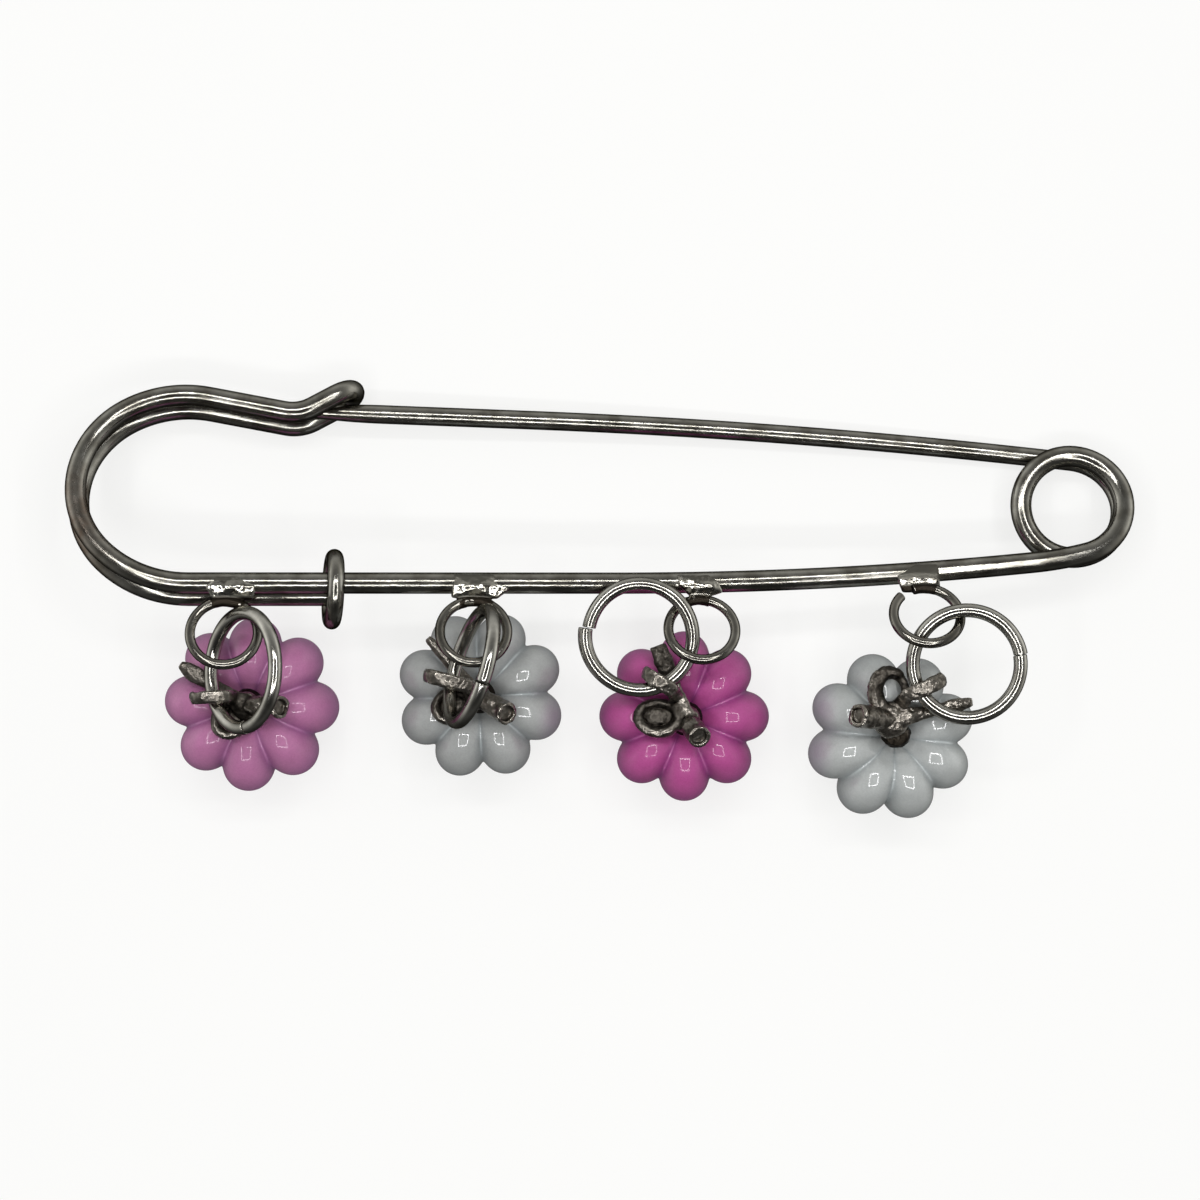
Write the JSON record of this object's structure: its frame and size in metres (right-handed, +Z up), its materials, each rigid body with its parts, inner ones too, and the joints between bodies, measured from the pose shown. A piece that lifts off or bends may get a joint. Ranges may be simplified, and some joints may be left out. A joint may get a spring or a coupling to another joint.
{
  "type": "charm pin brooch",
  "caption": "Bent-wire kilt pin with a coiled spring, a hooked clasp and lobed pumpkin charms on jump rings along its bar.",
  "frame": {"origin": "middle of the bounding box's base, on the surface that the pin lies on", "axes": "+X along the bar towards the spring coil, +Y from the charms towards the arm, +Z up"},
  "size_m": [0.0752, 0.031, 0.0166],
  "materials": {
    "pin_wire": "dark nickel plate, glossy",
    "ring_wire": "nickel plate, glossy",
    "cast_metal": "rough dark nickel casting",
    "orchid_resin": "pearl lacquer",
    "magenta_resin": "pearl lacquer",
    "pearl_resin": "pearl lacquer with lilac overspray"
  },
  "bodies": {
    "frame": {"pin_frame": "pin_wire", "collar": "ring_wire", "jump_ring_1": "ring_wire", "jump_ring_2": "ring_wire", "jump_ring_3": "ring_wire", "jump_ring_4": "ring_wire", "pumpkin_1": "orchid_resin", "pumpkin_2": "pearl_resin", "pumpkin_3": "magenta_resin", "pumpkin_4": "pearl_resin", "stem_1": "cast_metal", "stem_2": "cast_metal", "stem_3": "cast_metal", "stem_4": "cast_metal"},
    "arm": {"pin_arm": "pin_wire"}
  },
  "joints": [
    {"name": "arm_release", "type": "hinge", "parent": "frame", "child": "arm", "pos_m": [0.03316, 0.00636, 0.00203], "axis": [0.0537, 0.3584, 0.932], "range_deg": [0, 8], "stiffness_Nm_per_rad": 0.002, "springref_deg": -20.05}
  ]
}
